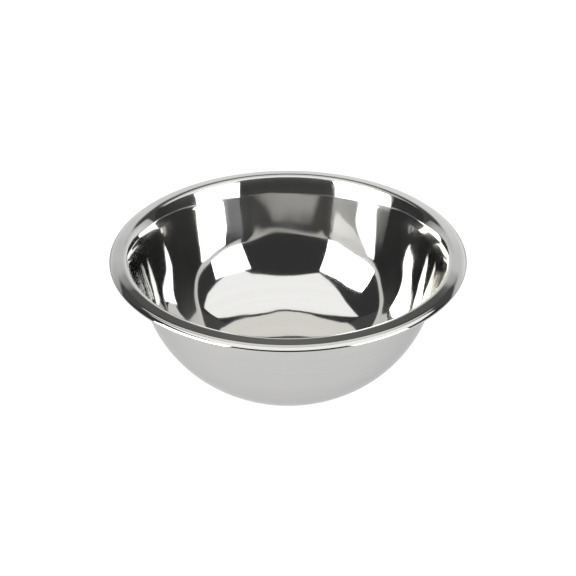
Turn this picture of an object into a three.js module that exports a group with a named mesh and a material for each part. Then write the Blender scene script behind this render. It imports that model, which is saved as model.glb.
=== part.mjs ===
// Stainless steel mixing bowl, pressed from one round sheet of steel.
// The sheet runs from a flat base through a heel and a round wall to a shallow crease, a flared
// collar and a crest, then out along a sloping flange whose edge falls and is rolled under.
// Millimetres, +Z up. The bowl stands on z = 0 and its axis is the Z axis.
import * as THREE from 'three';

// Sizes that drive the shape. Bend radii are those of the sheet's upper face.
const RIM_DIAMETER = 240; // across the outside of the rolled edge
const BASE_DIAMETER = 69.5; // flat that the bowl stands on
const SHEET_THICKNESS = 0.6;
const HEEL_RADIUS = 14; // bend from the base into the wall
const MIDDLE_WALL_RADIUS = 203; // the sweep that follows the round wall
const UPPER_WALL_RADIUS = 328; // the flattest sweep, under the crease
const CREASE_RADIUS = 8; // short outward bend where the collar begins
const LOWER_COLLAR_RADIUS = 82; // slow outward sweep above the crease
const UPPER_COLLAR_RADIUS = 26.4; // quicker sweep up to the crest
const CREST_RADIUS = 3.7; // bend over the top, from the collar to the flange
const FLANGE_LENGTH = 4.2; // straight part of the flange, along its slope
const EDGE_RADIUS = 6.6; // round fall of the flange's outer part
const ROLL_RADIUS = 1.4; // outside of the rolled edge

// Directions of the upper face in degrees above the horizontal, going outwards.
const HEEL_END_SLOPE = 19; // where the heel meets the round wall
const ROUND_WALL_END_SLOPE = 70.2; // where the round wall turns into the middle sweep
const MIDDLE_WALL_END_SLOPE = 73.4;
const WALL_TOP_SLOPE = 76.6; // the wall at its steepest, just under the crease
const CREASE_END_SLOPE = 73.8;
const LOWER_COLLAR_END_SLOPE = 70.7;
const COLLAR_TOP_SLOPE = 55; // where the collar meets the crest
const FLANGE_SLOPE = -8.6; // the flange falls towards its edge
const EDGE_END_SLOPE = -50; // where the fall turns into the roll
const ROLL_TURN = 220; // how far the free edge curls round under the flange

// Fineness of the facets.
const ROUND_STEPS = 64; // facets once round the bowl
const CHORD_ERROR = 0.08; // largest gap between an arc and its chords

// Look of the steel.
const STEEL_COLOUR = 0xc9cac8;
const STEEL_ROUGHNESS = 0.12;
const STEEL_METALNESS = 1;

const STRAIGHT_DOWN = -90; // slope of the edge where the bowl is widest
const radians = THREE.MathUtils.degToRad;

/** A step of the section: the upper face and the direction that it faces, across the sheet. */
class Station {
  constructor(point, facing) {
    this.point = point;
    this.facing = facing;
  }

  /** The point straight below, on the sheet's other face. */
  under() {
    return this.point.clone().addScaledVector(this.facing, -SHEET_THICKNESS);
  }
}

/** Draws the sheet's upper face outwards from the axis, as tangent lines and arcs. */
class SectionPen {
  constructor(height) {
    this.at = new THREE.Vector2(0, height);
    this.slope = 0;
    this.stations = [];
    this.mark();
  }

  facing() {
    const angle = radians(this.slope + 90);
    return new THREE.Vector2(Math.cos(angle), Math.sin(angle));
  }

  mark() {
    this.stations.push(new Station(this.at.clone(), this.facing()));
  }

  line(length) {
    const angle = radians(this.slope);
    this.at.add(new THREE.Vector2(Math.cos(angle), Math.sin(angle)).multiplyScalar(length));
    this.mark();
  }

  /** Turns to a new slope on an arc, upwards about a centre above or downwards about one below. */
  bendTo(slope, radius) {
    const turn = slope - this.slope;
    const reach = Math.sign(turn) * radius;
    const centre = this.at.clone().addScaledVector(this.facing(), reach);
    const widestStep = 2 * Math.acos(1 - CHORD_ERROR / radius);
    const steps = Math.max(2, Math.ceil(radians(Math.abs(turn)) / widestStep));
    const start = this.slope;
    for (let step = 1; step <= steps; step += 1) {
      this.slope = start + (turn * step) / steps;
      this.at = centre.clone().addScaledVector(this.facing(), -reach);
      this.mark();
    }
  }
}

/** How far outwards an arc of unit radius carries the section while it turns between slopes. */
function outwardShare(fromSlope, toSlope) {
  return Math.abs(Math.sin(radians(toSlope)) - Math.sin(radians(fromSlope)));
}

/** The round wall's radius is the one that carries the section from the base out to the rim. */
function roundWallRadius() {
  const fixedReach =
    BASE_DIAMETER / 2 +
    HEEL_RADIUS * outwardShare(0, HEEL_END_SLOPE) +
    MIDDLE_WALL_RADIUS * outwardShare(ROUND_WALL_END_SLOPE, MIDDLE_WALL_END_SLOPE) +
    UPPER_WALL_RADIUS * outwardShare(MIDDLE_WALL_END_SLOPE, WALL_TOP_SLOPE) +
    CREASE_RADIUS * outwardShare(WALL_TOP_SLOPE, CREASE_END_SLOPE) +
    LOWER_COLLAR_RADIUS * outwardShare(CREASE_END_SLOPE, LOWER_COLLAR_END_SLOPE) +
    UPPER_COLLAR_RADIUS * outwardShare(LOWER_COLLAR_END_SLOPE, COLLAR_TOP_SLOPE) +
    CREST_RADIUS * outwardShare(COLLAR_TOP_SLOPE, FLANGE_SLOPE) +
    FLANGE_LENGTH * Math.cos(radians(FLANGE_SLOPE)) +
    EDGE_RADIUS * outwardShare(FLANGE_SLOPE, EDGE_END_SLOPE) +
    ROLL_RADIUS * outwardShare(EDGE_END_SLOPE, STRAIGHT_DOWN);
  return (RIM_DIAMETER / 2 - fixedReach) / outwardShare(HEEL_END_SLOPE, ROUND_WALL_END_SLOPE);
}

/** The sheet's closed section, from the axis along its upper face and back along its under face. */
function sheetSection() {
  const pen = new SectionPen(SHEET_THICKNESS);
  pen.line(BASE_DIAMETER / 2);
  pen.bendTo(HEEL_END_SLOPE, HEEL_RADIUS);
  pen.bendTo(ROUND_WALL_END_SLOPE, roundWallRadius());
  pen.bendTo(MIDDLE_WALL_END_SLOPE, MIDDLE_WALL_RADIUS);
  pen.bendTo(WALL_TOP_SLOPE, UPPER_WALL_RADIUS);
  pen.bendTo(CREASE_END_SLOPE, CREASE_RADIUS);
  pen.bendTo(LOWER_COLLAR_END_SLOPE, LOWER_COLLAR_RADIUS);
  pen.bendTo(COLLAR_TOP_SLOPE, UPPER_COLLAR_RADIUS);
  pen.bendTo(FLANGE_SLOPE, CREST_RADIUS);
  pen.line(FLANGE_LENGTH);
  pen.bendTo(EDGE_END_SLOPE, EDGE_RADIUS);
  pen.bendTo(EDGE_END_SLOPE - ROLL_TURN, ROLL_RADIUS);
  const upper = pen.stations.map((station) => station.point);
  const under = pen.stations.map((station) => station.under());
  return upper.concat(under.reverse());
}

const shell = new THREE.LatheGeometry(sheetSection().reverse(), ROUND_STEPS);
shell.rotateX(Math.PI / 2);

const steel = new THREE.MeshStandardMaterial({
  color: STEEL_COLOUR,
  roughness: STEEL_ROUGHNESS,
  metalness: STEEL_METALNESS,
});

const bowl = new THREE.Mesh(shell, steel);
bowl.name = 'bowl';

const part = new THREE.Group();
part.name = 'mixing_bowl';
part.add(bowl);

export default part;
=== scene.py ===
"""Stainless steel mixing bowl, dressed and lit in a plain white studio."""

import logging
import math
from dataclasses import dataclass
from enum import Enum

import bpy
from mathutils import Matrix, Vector


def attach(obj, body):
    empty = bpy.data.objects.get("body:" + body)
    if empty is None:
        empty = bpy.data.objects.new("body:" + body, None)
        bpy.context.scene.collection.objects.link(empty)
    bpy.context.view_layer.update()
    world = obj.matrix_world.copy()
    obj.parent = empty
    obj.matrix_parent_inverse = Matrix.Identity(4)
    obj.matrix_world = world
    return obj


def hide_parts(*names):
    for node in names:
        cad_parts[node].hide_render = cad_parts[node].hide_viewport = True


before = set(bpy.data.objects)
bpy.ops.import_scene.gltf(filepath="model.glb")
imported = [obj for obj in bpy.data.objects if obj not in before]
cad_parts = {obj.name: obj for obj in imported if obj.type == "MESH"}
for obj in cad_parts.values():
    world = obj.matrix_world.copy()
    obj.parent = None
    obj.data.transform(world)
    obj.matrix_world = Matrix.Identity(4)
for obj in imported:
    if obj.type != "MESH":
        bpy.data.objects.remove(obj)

log = logging.getLogger("mixing_bowl")

MM = 0.001
PICTURE_PIXELS = 576
QUARTER_TURN = 0.25
HAZE_GRAIN = 0.8
STRAIGHT_DOWN = -90.0
LOOKING_LEVEL = 90.0

Colour = tuple[float, float, float]
Spot = tuple[float, float]
Socket = bpy.types.NodeSocket

WHITE: Colour = (1.0, 1.0, 1.0)
IN_PLAN = (1.0, 1.0, 0.0)


class Face(Enum):
    """Faces of the steel sheet, numbered as the bowl's material slots."""

    INSIDE = 0
    OUTSIDE = 1


class Wiring:
    """Adds nodes to a node tree and joins their sockets."""

    def __init__(self, tree: bpy.types.NodeTree) -> None:
        """Clears the tree, ready to be wired."""
        self.tree = tree
        tree.nodes.clear()

    def add(self, kind: str, **settings: object) -> bpy.types.Node:
        """Adds one node.

        Args:
            kind: The node's type name.
            settings: Properties to set on the node.

        Returns:
            The new node.
        """
        node = self.tree.nodes.new(kind)
        for name, value in settings.items():
            setattr(node, name, value)
        return node

    def join(self, source: Socket, target: Socket) -> None:
        """Joins an output socket to an input socket."""
        self.tree.links.new(source, target)

    def product(self, first: Socket, second: Socket | float) -> Socket:
        """Multiplies a value by another value or by a plain number.

        Args:
            first: The value.
            second: The other value, or the number.

        Returns:
            The product.
        """
        node = self.add("ShaderNodeMath", operation="MULTIPLY")
        self.join(first, node.inputs[0])
        if isinstance(second, Socket):
            self.join(second, node.inputs[1])
        else:
            node.inputs[1].default_value = second
        return node.outputs[0]

    def shifted(self, base: Socket, value: Socket, factor: float) -> Socket:
        """Adds to a base value a share of another.

        Args:
            base: The base value.
            value: The value that is added.
            factor: The share of it.

        Returns:
            The sum.
        """
        node = self.add("ShaderNodeMath", operation="MULTIPLY_ADD")
        self.join(value, node.inputs[0])
        node.inputs[1].default_value = factor
        self.join(base, node.inputs[2])
        return node.outputs[0]

    def size(self, value: Socket) -> Socket:
        """Takes the sign off a value.

        Args:
            value: The value.

        Returns:
            Its size.
        """
        node = self.add("ShaderNodeMath", operation="ABSOLUTE")
        self.join(value, node.inputs[0])
        return node.outputs[0]

    def remap(
        self,
        value: Socket,
        start: Spot,
        end: Spot = (0.0, 1.0),
        shape: str = "LINEAR",
    ) -> Socket:
        """Carries a value from one range to another and holds it at both ends.

        Args:
            value: The value.
            start: The range that it comes from.
            end: The range that it goes to.
            shape: How it goes from end to end.

        Returns:
            The value in the new range.
        """
        node = self.add("ShaderNodeMapRange", interpolation_type=shape)
        node.inputs["From Min"].default_value, node.inputs["From Max"].default_value = start
        node.inputs["To Min"].default_value, node.inputs["To Max"].default_value = end
        self.join(value, node.inputs["Value"])
        return node.outputs["Result"]

    def apart(self, vector: Socket) -> bpy.types.NodeOutputs:
        """Splits a vector.

        Args:
            vector: The vector.

        Returns:
            Its parts, named X, Y and Z.
        """
        node = self.add("ShaderNodeSeparateXYZ")
        self.join(vector, node.inputs[0])
        return node.outputs

    def marked(self, group: bpy.types.NodeTree, where: Socket) -> bpy.types.Node:
        """Adds a shared node group that is fed with a position.

        Args:
            group: The node group.
            where: The position.

        Returns:
            The group's node.
        """
        node = self.add("ShaderNodeGroup", node_tree=group)
        self.join(where, node.inputs["Vector"])
        return node


class GroupWiring(Wiring):
    """A shader node group with named inputs and outputs."""

    def __init__(self, name: str) -> None:
        """Makes an empty group of that name."""
        super().__init__(bpy.data.node_groups.new(name, "ShaderNodeTree"))

    def socket(self, name: str, way: str, kind: str = "NodeSocketFloat") -> None:
        """Adds an input or output socket to the group's face."""
        self.tree.interface.new_socket(name=name, in_out=way, socket_type=kind)


@dataclass(frozen=True)
class TurnedLines:
    """Fine rings that the polishing wheel leaves round the bowl's axis."""

    name: str = "turned_lines"
    arc_share: float = 2.6
    fine_grain: Spot = (1.0, 3.0)
    streak_grain: Spot = (0.16, 2.0)

    def group(self) -> bpy.types.NodeTree:
        """Builds the node group.

        Returns:
            A group that takes a position and a count of lines per metre, and gives a
            height and a broader streak value, both from 0 to 1. Each grain is a noise's
            scale and detail.
        """
        wiring = GroupWiring(self.name)
        wiring.socket("Vector", "INPUT", "NodeSocketVector")
        wiring.socket("Lines", "INPUT")
        wiring.socket("Height", "OUTPUT")
        wiring.socket("Streak", "OUTPUT")
        given = wiring.add("NodeGroupInput")
        result = wiring.add("NodeGroupOutput")
        upright = wiring.apart(given.outputs["Vector"])["Z"]
        flat = wiring.add("ShaderNodeVectorMath", operation="MULTIPLY")
        flat.inputs[1].default_value = IN_PLAN
        wiring.join(given.outputs["Vector"], flat.inputs[0])
        reach = wiring.add("ShaderNodeVectorMath", operation="LENGTH")
        wiring.join(flat.outputs["Vector"], reach.inputs[0])
        heading = wiring.add("ShaderNodeVectorMath", operation="NORMALIZE")
        wiring.join(flat.outputs["Vector"], heading.inputs[0])
        round_about = wiring.apart(heading.outputs["Vector"])
        across = wiring.product(reach.outputs["Value"], given.outputs["Lines"])
        upward = wiring.product(upright, given.outputs["Lines"])
        along = wiring.product(round_about["X"], self.arc_share)
        aside = wiring.product(round_about["Y"], self.arc_share)
        place = wiring.add("ShaderNodeCombineXYZ")
        wiring.join(across, place.inputs["X"])
        wiring.join(upward, place.inputs["Y"])
        wiring.join(along, place.inputs["Z"])
        for socket, kind in (("Height", self.fine_grain), ("Streak", self.streak_grain)):
            grain = wiring.add("ShaderNodeTexNoise", noise_dimensions="4D")
            grain.inputs["Scale"].default_value, grain.inputs["Detail"].default_value = kind
            wiring.join(place.outputs[0], grain.inputs["Vector"])
            wiring.join(aside, grain.inputs["W"])
            wiring.join(grain.outputs[0], result.inputs[socket])
        return wiring.tree


@dataclass(frozen=True)
class PressingWaves:
    """Slow unevenness that pressing leaves in thin sheet."""

    name: str = "pressing_waves"
    upright_share: float = 0.75

    def group(self) -> bpy.types.NodeTree:
        """Builds the node group.

        Returns:
            A group that takes a position and a count of waves per metre, and gives a
            height from 0 to 1.
        """
        wiring = GroupWiring(self.name)
        wiring.socket("Vector", "INPUT", "NodeSocketVector")
        wiring.socket("Waves", "INPUT")
        wiring.socket("Height", "OUTPUT")
        given = wiring.add("NodeGroupInput")
        result = wiring.add("NodeGroupOutput")
        squeezed = wiring.add("ShaderNodeVectorMath", operation="MULTIPLY")
        squeezed.inputs[1].default_value = (1.0, 1.0, self.upright_share)
        wiring.join(given.outputs["Vector"], squeezed.inputs[0])
        swell = wiring.add("ShaderNodeTexNoise")
        swell.inputs["Detail"].default_value = 0.0
        wiring.join(squeezed.outputs["Vector"], swell.inputs["Vector"])
        wiring.join(given.outputs["Waves"], swell.inputs["Scale"])
        wiring.join(swell.outputs[0], result.inputs["Height"])
        return wiring.tree


@dataclass(frozen=True)
class Handling:
    """Faint cloudy patches where the bowl has been wiped and handled."""

    name: str = "handling"
    patches: float = 26.0
    detail: float = 4.0
    swirl: float = 0.6
    edges: Spot = (0.48, 0.72)

    def group(self) -> bpy.types.NodeTree:
        """Builds the node group.

        Returns:
            A group that takes a position and gives a mask from 0 to 1.
        """
        wiring = GroupWiring(self.name)
        wiring.socket("Vector", "INPUT", "NodeSocketVector")
        wiring.socket("Mask", "OUTPUT")
        given = wiring.add("NodeGroupInput")
        result = wiring.add("NodeGroupOutput")
        cloud = wiring.add("ShaderNodeTexNoise")
        cloud.inputs["Scale"].default_value = self.patches
        cloud.inputs["Detail"].default_value = self.detail
        cloud.inputs["Distortion"].default_value = self.swirl
        wiring.join(given.outputs["Vector"], cloud.inputs["Vector"])
        faded = wiring.remap(cloud.outputs[0], self.edges, shape="SMOOTHSTEP")
        wiring.join(faded, result.inputs["Mask"])
        return wiring.tree


@dataclass(frozen=True)
class SurfaceMarks:
    """The node groups that every steel finish shares."""

    lines: bpy.types.NodeTree
    waves: bpy.types.NodeTree
    handling: bpy.types.NodeTree


@dataclass(frozen=True)
class SteelFinish:
    """One polish of the steel: a mirror with a share of haze.

    The haze grows from the first to the second share of haze, with the height over the base
    along haze_rise and with the distance behind the axis along haze_side.
    """

    name: str
    colour: Colour
    streak_colour: Colour
    edge_tint: Colour
    smoothest: float
    roughest: float
    smear: float
    grain: float
    haze: Spot
    haze_rise: Spot
    haze_side: Spot
    haze_spread: float
    lines: float
    line_depth: float
    waves: float
    wave_depth: float
    line_span: Spot = (0.3, 0.7)

    def material(self, marks: SurfaceMarks) -> bpy.types.Material:
        """Makes the finish's material.

        Args:
            marks: The node groups to wire in.

        Returns:
            The material.
        """
        material = bpy.data.materials.new(self.name)
        material.use_nodes = True
        wiring = Wiring(material.node_tree)
        result = wiring.add("ShaderNodeOutputMaterial")
        steel = wiring.add("ShaderNodeBsdfPrincipled")
        steel.inputs["Metallic"].default_value = 1.0
        steel.inputs["Anisotropic"].default_value = self.grain
        steel.inputs["Anisotropic Rotation"].default_value = QUARTER_TURN
        steel.inputs["Specular Tint"].default_value = (*self.edge_tint, 1.0)
        haze = wiring.add("ShaderNodeBsdfAnisotropic")
        haze.inputs["Color"].default_value = (*self.colour, 1.0)
        haze.inputs["Roughness"].default_value = self.haze_spread
        haze.inputs["Anisotropy"].default_value = HAZE_GRAIN
        round_about = wiring.add("ShaderNodeTangent", direction_type="RADIAL", axis="Z")
        for lobe in (steel, haze):
            wiring.join(round_about.outputs["Tangent"], lobe.inputs["Tangent"])
        where = wiring.add("ShaderNodeTexCoord").outputs["Object"]
        both = wiring.add("ShaderNodeMixShader")
        wiring.join(self.haze_share(wiring, where), both.inputs["Fac"])
        wiring.join(steel.outputs[0], both.inputs[1])
        wiring.join(haze.outputs[0], both.inputs[2])
        wiring.join(both.outputs[0], result.inputs["Surface"])
        lines = wiring.marked(marks.lines, where)
        lines.inputs["Lines"].default_value = self.lines
        waves = wiring.marked(marks.waves, where)
        waves.inputs["Waves"].default_value = self.waves
        handling = wiring.marked(marks.handling, where)
        self.shade(wiring, steel, lines)
        self.roughen(wiring, steel, lines, handling)
        self.uneven(wiring, steel, lines, waves)
        return material

    def haze_share(self, wiring: Wiring, where: Socket) -> Socket:
        """Places the haze on the wall.

        Args:
            wiring: The material's wiring.
            where: The position.

        Returns:
            The haze's share at that position.
        """
        apart = wiring.apart(where)
        high = wiring.remap(apart["Z"], self.haze_rise, shape="SMOOTHSTEP")
        far = wiring.remap(apart["Y"], self.haze_side, shape="SMOOTHSTEP")
        return wiring.remap(wiring.product(high, far), (0.0, 1.0), self.haze)

    def shade(self, wiring: Wiring, steel: bpy.types.Node, lines: bpy.types.Node) -> None:
        """Colours the steel, a little darker along the broader streaks.

        Args:
            wiring: The material's wiring.
            steel: The steel's shader.
            lines: The polish lines.
        """
        tint = wiring.add("ShaderNodeMix", data_type="RGBA")
        tint.inputs["A"].default_value = (*self.colour, 1.0)
        tint.inputs["B"].default_value = (*self.streak_colour, 1.0)
        wiring.join(lines.outputs["Streak"], tint.inputs["Factor"])
        colours = [socket for socket in tint.outputs if socket.type == "RGBA"]
        wiring.join(colours[0], steel.inputs["Base Color"])

    def roughen(
        self,
        wiring: Wiring,
        steel: bpy.types.Node,
        lines: bpy.types.Node,
        handling: bpy.types.Node,
    ) -> None:
        """Varies the roughness along the polish lines and in the handled patches.

        Args:
            wiring: The material's wiring.
            steel: The steel's shader.
            lines: The polish lines.
            handling: The handled patches.
        """
        limits = (self.smoothest, self.roughest)
        polish = wiring.remap(lines.outputs["Height"], self.line_span, limits)
        smeared = wiring.shifted(polish, handling.outputs["Mask"], self.smear)
        wiring.join(smeared, steel.inputs["Roughness"])

    def uneven(
        self,
        wiring: Wiring,
        steel: bpy.types.Node,
        lines: bpy.types.Node,
        waves: bpy.types.Node,
    ) -> None:
        """Bumps the surface by the slow waves and by the fine lines.

        Args:
            wiring: The material's wiring.
            steel: The steel's shader.
            lines: The polish lines.
            waves: The slow waves.
        """
        swell = wiring.add("ShaderNodeBump")
        swell.inputs["Distance"].default_value = self.wave_depth
        wiring.join(waves.outputs["Height"], swell.inputs["Height"])
        groove = wiring.add("ShaderNodeBump")
        groove.inputs["Distance"].default_value = self.line_depth
        wiring.join(lines.outputs["Height"], groove.inputs["Height"])
        wiring.join(swell.outputs["Normal"], groove.inputs["Normal"])
        wiring.join(groove.outputs["Normal"], steel.inputs["Normal"])


MIRROR_POLISH = SteelFinish(
    name="mirror_polish",
    colour=(0.66, 0.655, 0.64),
    streak_colour=(0.61, 0.605, 0.59),
    edge_tint=(0.95, 0.95, 0.95),
    smoothest=0.03,
    roughest=0.06,
    smear=0.02,
    grain=0.75,
    haze=(0.0, 0.19),
    haze_rise=(50 * MM, 70 * MM),
    haze_side=(50 * MM, 85 * MM),
    haze_spread=0.16,
    lines=1500.0,
    line_depth=0.0012 * MM,
    waves=40.0,
    wave_depth=0.5 * MM,
)

BRIGHT_POLISH = SteelFinish(
    name="bright_polish",
    colour=(0.645, 0.64, 0.63),
    streak_colour=(0.60, 0.595, 0.585),
    edge_tint=(0.8, 0.8, 0.81),
    smoothest=0.09,
    roughest=0.17,
    smear=0.03,
    grain=0.6,
    haze=(0.03, 0.05),
    haze_rise=(20 * MM, 80 * MM),
    haze_side=(-60 * MM, 60 * MM),
    haze_spread=0.2,
    lines=1100.0,
    line_depth=0.003 * MM,
    waves=30.0,
    wave_depth=0.10 * MM,
)


class SectionPen:
    """Draws the sheet's upper face outwards from the axis, as tangent lines and arcs."""

    def __init__(self, height: float, chord_error: float, longest_step: float) -> None:
        """Starts on the axis, heading straight out.

        Args:
            height: Height of the first point.
            chord_error: Largest gap between an arc and its chords.
            longest_step: Longest step along a straight line.
        """
        self.at = Vector((0.0, 0.0, height))
        self.slope = 0.0
        self.chord_error = chord_error
        self.longest_step = longest_step
        self.points = [self.at.copy()]

    def facing(self) -> Vector:
        """The direction across the sheet, on its upper side."""
        return Vector((-math.sin(self.slope), 0.0, math.cos(self.slope)))

    def line(self, length: float) -> None:
        """Goes straight on in even steps.

        Args:
            length: How far.
        """
        steps = math.ceil(length / self.longest_step)
        heading = Vector((math.cos(self.slope), 0.0, math.sin(self.slope)))
        for _ in range(steps):
            self.at = self.at + heading * (length / steps)
            self.points.append(self.at.copy())

    def bend_to(self, degrees: float, radius: float) -> None:
        """Turns to a new slope on an arc.

        Args:
            degrees: The slope to end on, above the horizontal.
            radius: The arc's radius.
        """
        start = self.slope
        turn = math.radians(degrees) - start
        reach = math.copysign(radius, turn)
        centre = self.at + self.facing() * reach
        widest = 2.0 * math.acos(1.0 - self.chord_error / radius)
        steps = max(2, math.ceil(abs(turn) / widest))
        for step in range(1, steps + 1):
            self.slope = start + turn * step / steps
            self.at = centre - self.facing() * reach
            self.points.append(self.at.copy())


def draw_path(points: list[Vector], name: str) -> bpy.types.Object:
    """Draws a chain of edges from a small square that is merged to one point.

    Args:
        points: The chain's points in order.
        name: Name of the new object.

    Returns:
        The object, in edit mode with all of the chain selected.
    """
    bpy.ops.object.select_all(action="DESELECT")
    bpy.ops.mesh.primitive_plane_add(size=MM, location=points[0])
    drawn = bpy.context.active_object
    drawn.name = name
    drawn.data.name = name
    bpy.ops.object.transform_apply(location=True, rotation=True, scale=True)
    bpy.ops.object.mode_set(mode="EDIT")
    bpy.ops.mesh.select_all(action="SELECT")
    bpy.ops.mesh.merge(type="CENTER")
    for here, there in zip(points, points[1:]):
        bpy.ops.mesh.extrude_vertices_move(TRANSFORM_OT_translate={"value": there - here})
    bpy.ops.mesh.select_all(action="SELECT")
    return drawn


@dataclass
class Bowl:
    """The bowl: one pressed sheet, from its flat base to its rolled edge. Slopes in degrees."""

    rim_diameter: float = 239.99 * MM
    base_diameter: float = 69.6 * MM
    sheet_thickness: float = 0.6 * MM
    heel_radius: float = 14 * MM
    middle_wall_radius: float = 203 * MM
    upper_wall_radius: float = 328 * MM
    crease_radius: float = 8 * MM
    lower_collar_radius: float = 82 * MM
    upper_collar_radius: float = 26.4 * MM
    crest_radius: float = 3.7 * MM
    flange_length: float = 4.2 * MM
    edge_radius: float = 6.6 * MM
    roll_radius: float = 1.4 * MM
    heel_end_slope: float = 19.0
    round_wall_end_slope: float = 70.2
    middle_wall_end_slope: float = 73.4
    wall_top_slope: float = 76.6
    crease_end_slope: float = 73.8
    lower_collar_end_slope: float = 70.7
    collar_top_slope: float = 55.0
    flange_slope: float = -8.6
    edge_end_slope: float = -50.0
    roll_turn: float = 220.0
    round_steps: int = 240
    chord_error: float = 0.004 * MM
    longest_step: float = 1.2 * MM
    merge_gap: float = 0.002 * MM
    sharp_angle: float = 40.0

    @staticmethod
    def outward_share(from_slope: float, to_slope: float) -> float:
        """How far outwards an arc of unit radius carries the section between two slopes."""
        return abs(math.sin(math.radians(to_slope)) - math.sin(math.radians(from_slope)))

    def round_wall_radius(self) -> float:
        """The wall radius that carries the section from the base out to the rim.

        Returns:
            The radius in metres.
        """
        share = self.outward_share
        fixed_reach = (
            self.base_diameter / 2
            + self.heel_radius * share(0.0, self.heel_end_slope)
            + self.middle_wall_radius * share(self.round_wall_end_slope, self.middle_wall_end_slope)
            + self.upper_wall_radius * share(self.middle_wall_end_slope, self.wall_top_slope)
            + self.crease_radius * share(self.wall_top_slope, self.crease_end_slope)
            + self.lower_collar_radius * share(self.crease_end_slope, self.lower_collar_end_slope)
            + self.upper_collar_radius * share(self.lower_collar_end_slope, self.collar_top_slope)
            + self.crest_radius * share(self.collar_top_slope, self.flange_slope)
            + self.flange_length * math.cos(math.radians(self.flange_slope))
            + self.edge_radius * share(self.flange_slope, self.edge_end_slope)
            + self.roll_radius * share(self.edge_end_slope, STRAIGHT_DOWN)
        )
        left_over = self.rim_diameter / 2 - fixed_reach
        return left_over / share(self.heel_end_slope, self.round_wall_end_slope)

    def section(self) -> list[Vector]:
        """Draws the upper face's section.

        Returns:
            Its points, from the axis out to the free edge of the roll.
        """
        pen = SectionPen(self.sheet_thickness, self.chord_error, self.longest_step)
        pen.line(self.base_diameter / 2)
        pen.bend_to(self.heel_end_slope, self.heel_radius)
        pen.bend_to(self.round_wall_end_slope, self.round_wall_radius())
        pen.bend_to(self.middle_wall_end_slope, self.middle_wall_radius)
        pen.bend_to(self.wall_top_slope, self.upper_wall_radius)
        pen.bend_to(self.crease_end_slope, self.crease_radius)
        pen.bend_to(self.lower_collar_end_slope, self.lower_collar_radius)
        pen.bend_to(self.collar_top_slope, self.upper_collar_radius)
        pen.bend_to(self.flange_slope, self.crest_radius)
        pen.line(self.flange_length)
        pen.bend_to(self.edge_end_slope, self.edge_radius)
        pen.bend_to(self.edge_end_slope - self.roll_turn, self.roll_radius)
        return pen.points

    def build(self) -> bpy.types.Object:
        """Spins the section round the axis and gives the sheet its thickness.

        Returns:
            The bowl's mesh object.
        """
        bowl = draw_path(self.section(), "steel_bowl")
        bpy.ops.mesh.spin(
            steps=self.round_steps, angle=math.tau, center=(0, 0, 0), axis=(0, 0, 1)
        )
        bpy.ops.mesh.select_all(action="SELECT")
        bpy.ops.mesh.remove_doubles(threshold=self.merge_gap)
        bpy.ops.mesh.normals_make_consistent(inside=False)
        bpy.ops.object.mode_set(mode="OBJECT")
        lowest = min(bowl.data.polygons, key=lambda facet: facet.center.xy.length)
        sheet = bowl.modifiers.new("sheet", "SOLIDIFY")
        sheet.thickness = self.sheet_thickness
        sheet.offset = -math.copysign(1.0, lowest.normal.z)
        sheet.use_even_offset = True
        sheet.material_offset = Face.OUTSIDE.value
        sheet.material_offset_rim = Face.OUTSIDE.value
        for _ in Face:
            bowl.data.materials.append(None)
        bpy.ops.object.modifier_apply(modifier=sheet.name)
        bpy.ops.object.shade_smooth_by_angle(angle=math.radians(self.sharp_angle))
        return bowl

    def dress(self, bowl: bpy.types.Object, marks: SurfaceMarks) -> None:
        """Gives each face of the sheet its polish."""
        bowl.data.materials[Face.INSIDE.value] = MIRROR_POLISH.material(marks)
        bowl.data.materials[Face.OUTSIDE.value] = BRIGHT_POLISH.material(marks)

    def place(self, bowl: bpy.types.Object) -> None:
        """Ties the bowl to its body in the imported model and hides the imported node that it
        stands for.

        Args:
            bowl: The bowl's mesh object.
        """
        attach(bowl, "root")
        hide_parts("bowl")


def plain_glow(name: str, colour: Colour, level: float) -> bpy.types.Material:
    """Makes the material of an evenly lit studio sheet.

    Args:
        name: The material's name.
        colour: Colour of the light.
        level: Strength, where 1 shows the colour as written.

    Returns:
        The material.
    """
    material = bpy.data.materials.new(name)
    material.use_nodes = True
    wiring = Wiring(material.node_tree)
    result = wiring.add("ShaderNodeOutputMaterial")
    light = wiring.add("ShaderNodeEmission")
    light.inputs["Color"].default_value = (*colour, 1.0)
    light.inputs["Strength"].default_value = level
    wiring.join(light.outputs[0], result.inputs["Surface"])
    return material


@dataclass
class LitSheet:
    """A flat lit sheet of the studio, drawn by its corners and hidden from the camera."""

    name: str
    corners: tuple[Spot, ...]
    level: float
    colour: Colour = WHITE

    def corner(self, spot: Spot) -> Vector:
        """Where a corner stands in the studio."""
        raise NotImplementedError

    def material(self) -> bpy.types.Material:
        """The sheet's light."""
        return plain_glow(self.name, self.colour, self.level)

    def build(self) -> bpy.types.Object:
        """Draws the outline and fills it.

        Returns:
            The sheet's object.
        """
        sheet = draw_path([self.corner(spot) for spot in self.corners], self.name)
        bpy.ops.mesh.edge_face_add()
        bpy.ops.object.mode_set(mode="OBJECT")
        sheet.data.materials.append(self.material())
        sheet.visible_camera = False
        return sheet


@dataclass
class CeilingSheet(LitSheet):
    """A sheet that lies level over the bowl. Its corners are given in plan."""

    height: float = 1.293

    def corner(self, spot: Spot) -> Vector:
        """Where a corner hangs."""
        return Vector((*spot, self.height))


@dataclass
class StandingSheet(LitSheet):
    """An upright sheet that faces the bowl. Its corners are given across and up."""

    bearing: float = 0.0
    distance: float = 1.25

    def corner(self, spot: Spot) -> Vector:
        """Places a corner. The bearing is counted from straight behind the bowl.

        Args:
            spot: The corner's place across and up the sheet.

        Returns:
            Where it stands.
        """
        turn = math.radians(self.bearing)
        away = Vector((math.sin(turn), math.cos(turn), 0.0)) * self.distance
        aside = Vector((math.cos(turn), -math.sin(turn), 0.0)) * spot[0]
        return away + aside + Vector((0.0, 0.0, spot[1]))


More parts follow.
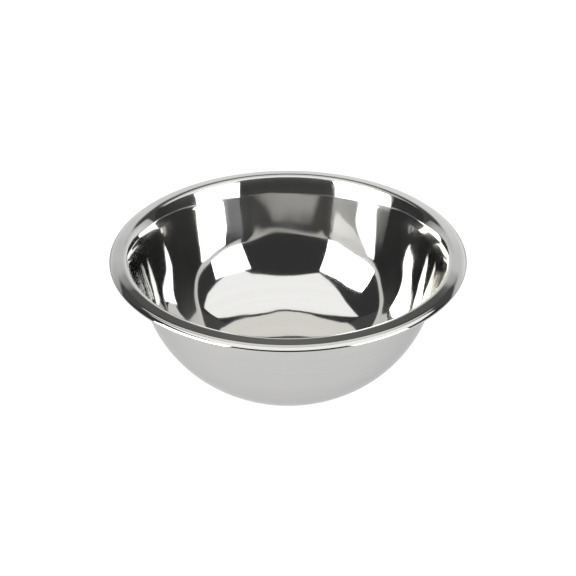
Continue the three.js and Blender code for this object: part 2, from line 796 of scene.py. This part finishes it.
@dataclass
class Backdrop(StandingSheet):
    """The white backdrop: bright at its foot, fading upwards and to both sides."""

    foot_level: float = 1.03
    foot_top: float = 0.45
    dim_levels: Spot = (0.18, 0.085)
    dim_across: Spot = (0.1, 1.0)
    middle: float = 0.8
    fade_across: Spot = (0.0, 6.5)
    fade_up: Spot = (1.12, 1.38)
    lift_across: float = 0.095
    fall_across: float = 0.005

    def material(self) -> bpy.types.Material:
        """Grades the backdrop's light by its place on the sheet.

        Returns:
            The material.
        """
        material = bpy.data.materials.new(self.name)
        material.use_nodes = True
        wiring = Wiring(material.node_tree)
        result = wiring.add("ShaderNodeOutputMaterial")
        light = wiring.add("ShaderNodeEmission")
        light.inputs["Color"].default_value = (*self.colour, 1.0)
        wiring.join(light.outputs[0], result.inputs["Surface"])
        apart = wiring.apart(wiring.add("ShaderNodeTexCoord").outputs["Object"])
        heights = (self.foot_top, self.fade_up[0])
        bright = wiring.remap(apart["Z"], heights, (self.foot_level, self.level))
        dim = wiring.remap(wiring.size(apart["X"]), self.dim_across, self.dim_levels)
        strength = wiring.add("ShaderNodeMix", data_type="FLOAT")
        wiring.join(self.lit_share(wiring, apart), strength.inputs["Factor"])
        wiring.join(dim, strength.inputs["A"])
        wiring.join(bright, strength.inputs["B"])
        wiring.join(strength.outputs["Result"], light.inputs["Strength"])
        return material

    def lit_share(self, wiring: Wiring, apart: bpy.types.NodeOutputs) -> Socket:
        """Fades the bright part upwards and to both sides.

        Args:
            wiring: The material's wiring.
            apart: The place on the sheet, as X, Y and Z.

        Returns:
            The bright part's share, from 0 to 1.
        """
        across = apart["X"]
        squared = wiring.product(across, across)
        fourth = wiring.product(squared, squared)
        lowered = wiring.shifted(apart["Z"], fourth, self.fall_across)
        lifted = wiring.shifted(lowered, wiring.size(across), -self.lift_across)
        top = wiring.remap(lifted, self.fade_up[::-1], shape="SMOOTHSTEP")
        off = wiring.add("ShaderNodeMath", operation="SUBTRACT")
        off.inputs[1].default_value = self.middle
        wiring.join(across, off.inputs[0])
        far = wiring.size(off.outputs[0])
        side = wiring.remap(far, self.fade_across[::-1], shape="SMOOTHSTEP")
        return wiring.product(top, side)


@dataclass
class Floor:
    """The white table top. It shines to stay white, keeps a soft shadow and is clear from below."""

    width: float = 0.95
    front: float = -0.95
    back: float = 1.7
    below_base: float = 0.05 * MM
    colour: Colour = (0.14, 0.14, 0.14)
    shine: float = 0.72
    shine_to_camera: float = 0.21

    def build(self) -> bpy.types.Object:
        """Adds the table top.

        Returns:
            The table top's object.
        """
        bpy.ops.object.select_all(action="DESELECT")
        bpy.ops.mesh.primitive_plane_add(size=1.0)
        floor = bpy.context.active_object
        floor.name = "floor"
        floor.scale = (self.width, self.back - self.front, 1.0)
        floor.location = (0.0, (self.back + self.front) / 2, -self.below_base)
        floor.data.materials.append(self.material())
        return floor

    def material(self) -> bpy.types.Material:
        """Makes the table top's material.

        Returns:
            The material.
        """
        material = bpy.data.materials.new("floor")
        material.use_nodes = True
        wiring = Wiring(material.node_tree)
        result = wiring.add("ShaderNodeOutputMaterial")
        matt = wiring.add("ShaderNodeBsdfDiffuse")
        matt.inputs["Color"].default_value = (*self.colour, 1.0)
        path = wiring.add("ShaderNodeLightPath")
        strength = wiring.add("ShaderNodeMath", operation="MULTIPLY_ADD")
        strength.inputs[1].default_value = self.shine_to_camera
        strength.inputs[2].default_value = self.shine
        wiring.join(path.outputs["Is Camera Ray"], strength.inputs[0])
        light = wiring.add("ShaderNodeEmission")
        wiring.join(strength.outputs[0], light.inputs["Strength"])
        both = wiring.add("ShaderNodeAddShader")
        wiring.join(matt.outputs[0], both.inputs[0])
        wiring.join(light.outputs[0], both.inputs[1])
        side = wiring.add("ShaderNodeNewGeometry")
        clear = wiring.add("ShaderNodeBsdfTransparent")
        choice = wiring.add("ShaderNodeMixShader")
        wiring.join(side.outputs["Backfacing"], choice.inputs["Fac"])
        wiring.join(both.outputs[0], choice.inputs[1])
        wiring.join(clear.outputs[0], choice.inputs[2])
        wiring.join(choice.outputs[0], result.inputs["Surface"])
        return material


@dataclass
class Room:
    """The unlit studio round the panels: white to the camera, dark in reflections."""

    shade: Colour = (0.97, 0.98, 1.0)
    darkness: float = 0.048
    mirror_bounces: int = 12

    def build(self) -> bpy.types.World:
        """Sets the scene's world, and how often light is followed from wall to wall.

        Returns:
            The world.
        """
        world = bpy.data.worlds.new("room")
        world.use_nodes = True
        wiring = Wiring(world.node_tree)
        result = wiring.add("ShaderNodeOutputWorld")
        path = wiring.add("ShaderNodeLightPath")
        dark = wiring.add("ShaderNodeBackground")
        dark.inputs["Color"].default_value = (*self.shade, 1.0)
        dark.inputs["Strength"].default_value = self.darkness
        white = wiring.add("ShaderNodeBackground")
        white.inputs["Color"].default_value = (*WHITE, 1.0)
        choice = wiring.add("ShaderNodeMixShader")
        wiring.join(path.outputs["Is Camera Ray"], choice.inputs["Fac"])
        wiring.join(dark.outputs[0], choice.inputs[1])
        wiring.join(white.outputs[0], choice.inputs[2])
        wiring.join(choice.outputs[0], result.inputs["Surface"])
        bpy.context.scene.world = world
        bpy.context.scene.cycles.glossy_bounces = self.mirror_bounces
        return world


FRONT_SHEET = CeilingSheet(
    name="front_sheet",
    corners=(
        (0.00, -0.168),
        (0.18, -0.149),
        (0.42, -0.070),
        (0.64, 0.056),
        (0.82, 0.195),
        (1.03, 0.355),
        (1.22, 0.490),
        (1.70, 0.560),
        (1.93, 0.600),
        (2.02, 0.000),
        (1.95, -0.420),
        (1.75, -0.680),
        (1.60, -0.930),
        (1.40, -1.170),
        (0.84, -0.990),
        (0.41, -1.036),
        (0.00, -1.066),
        (-0.78, -1.062),
        (-0.90, -0.805),
        (-1.05, -0.145),
        (-1.29, 0.495),
        (-1.04, 0.341),
        (-0.82, 0.203),
        (-0.57, 0.034),
        (-0.35, -0.074),
        (-0.18, -0.136),
    ),
    level=1.33,
)

BACK_SHEET = CeilingSheet(
    name="back_sheet",
    corners=(
        (0.00, -0.124),
        (0.17, -0.106),
        (0.38, -0.033),
        (0.59, 0.100),
        (0.79, 0.300),
        (0.92, 0.490),
        (0.98, 0.600),
        (1.05, 0.700),
        (1.08, 0.780),
        (0.98, 0.780),
        (0.80, 0.670),
        (0.57, 0.580),
        (0.37, 0.545),
        (0.25, 0.530),
        (0.13, 0.500),
        (0.00, 0.480),
        (-0.13, 0.500),
        (-0.25, 0.530),
        (-0.37, 0.545),
        (-0.57, 0.580),
        (-0.80, 0.660),
        (-0.98, 0.780),
        (-1.13, 0.780),
        (-1.07, 0.660),
        (-0.99, 0.540),
        (-0.92, 0.450),
        (-0.78, 0.345),
        (-0.55, 0.120),
        (-0.35, -0.027),
        (-0.17, -0.097),
    ),
    level=1.0,
    colour=(1.0, 0.985, 0.94),
)

RIGHT_BOX = StandingSheet(
    name="right_box",
    corners=(
        (0.40, 0.0),
        (0.40, 0.60),
        (0.37, 1.08),
        (-0.49, 0.835),
        (-0.40, 0.49),
        (-0.38, 0.0),
    ),
    level=4.0,
    colour=(0.94, 0.97, 1.0),
    bearing=124.5,
)

LEFT_BOX = StandingSheet(
    name="left_box",
    corners=(
        (-0.566, 0.0),
        (-0.55, 1.235),
        (0.21, 1.158),
        (0.63, 0.995),
        (0.56, 0.59),
        (0.50, 0.0),
    ),
    level=8.0,
    colour=(1.0, 0.985, 0.95),
    bearing=239.5,
)

BACKDROP = Backdrop(
    name="backdrop",
    corners=((-4.5, 0.0), (4.5, 0.0), (4.5, 4.4), (-4.5, 4.4)),
    level=0.77,
    distance=1.7,
)


@dataclass
class Camera:
    """The camera, level and square to the bowl, looking down into it."""

    back: float = 951.3 * MM
    height: float = 645.4 * MM
    tilt: float = 31.32
    focal_pixels: float = 1631.5
    sensor: float = 36.0

    def build(self) -> bpy.types.Object:
        """Adds the camera and makes it the scene's.

        Returns:
            The camera's object.
        """
        turned = (math.radians(LOOKING_LEVEL - self.tilt), 0.0, 0.0)
        place = (0.0, -self.back, self.height)
        bpy.ops.object.camera_add(location=place, rotation=turned)
        camera = bpy.context.active_object
        camera.data.sensor_width = self.sensor
        camera.data.lens = self.focal_pixels * self.sensor / PICTURE_PIXELS
        bpy.context.scene.camera = camera
        return camera


def main() -> None:
    """Builds the bowl, the studio and the camera, and logs what it built."""
    logging.basicConfig(level=logging.INFO, format="%(message)s")
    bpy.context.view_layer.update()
    marks = SurfaceMarks(
        TurnedLines().group(),
        PressingWaves().group(),
        Handling().group(),
    )
    maker = Bowl()
    bowl = maker.build()
    maker.dress(bowl, marks)
    maker.place(bowl)
    log.info("bowl: %s, %d faces", bowl.name, len(bowl.data.polygons))
    sheets = (FRONT_SHEET, BACK_SHEET, RIGHT_BOX, LEFT_BOX, BACKDROP)
    for fitting in (Floor(), *sheets, Room(), Camera()):
        log.info("studio: %s", fitting.build().name)
    bpy.context.scene.view_settings.view_transform = "Standard"


if __name__ == "__main__":
    main()
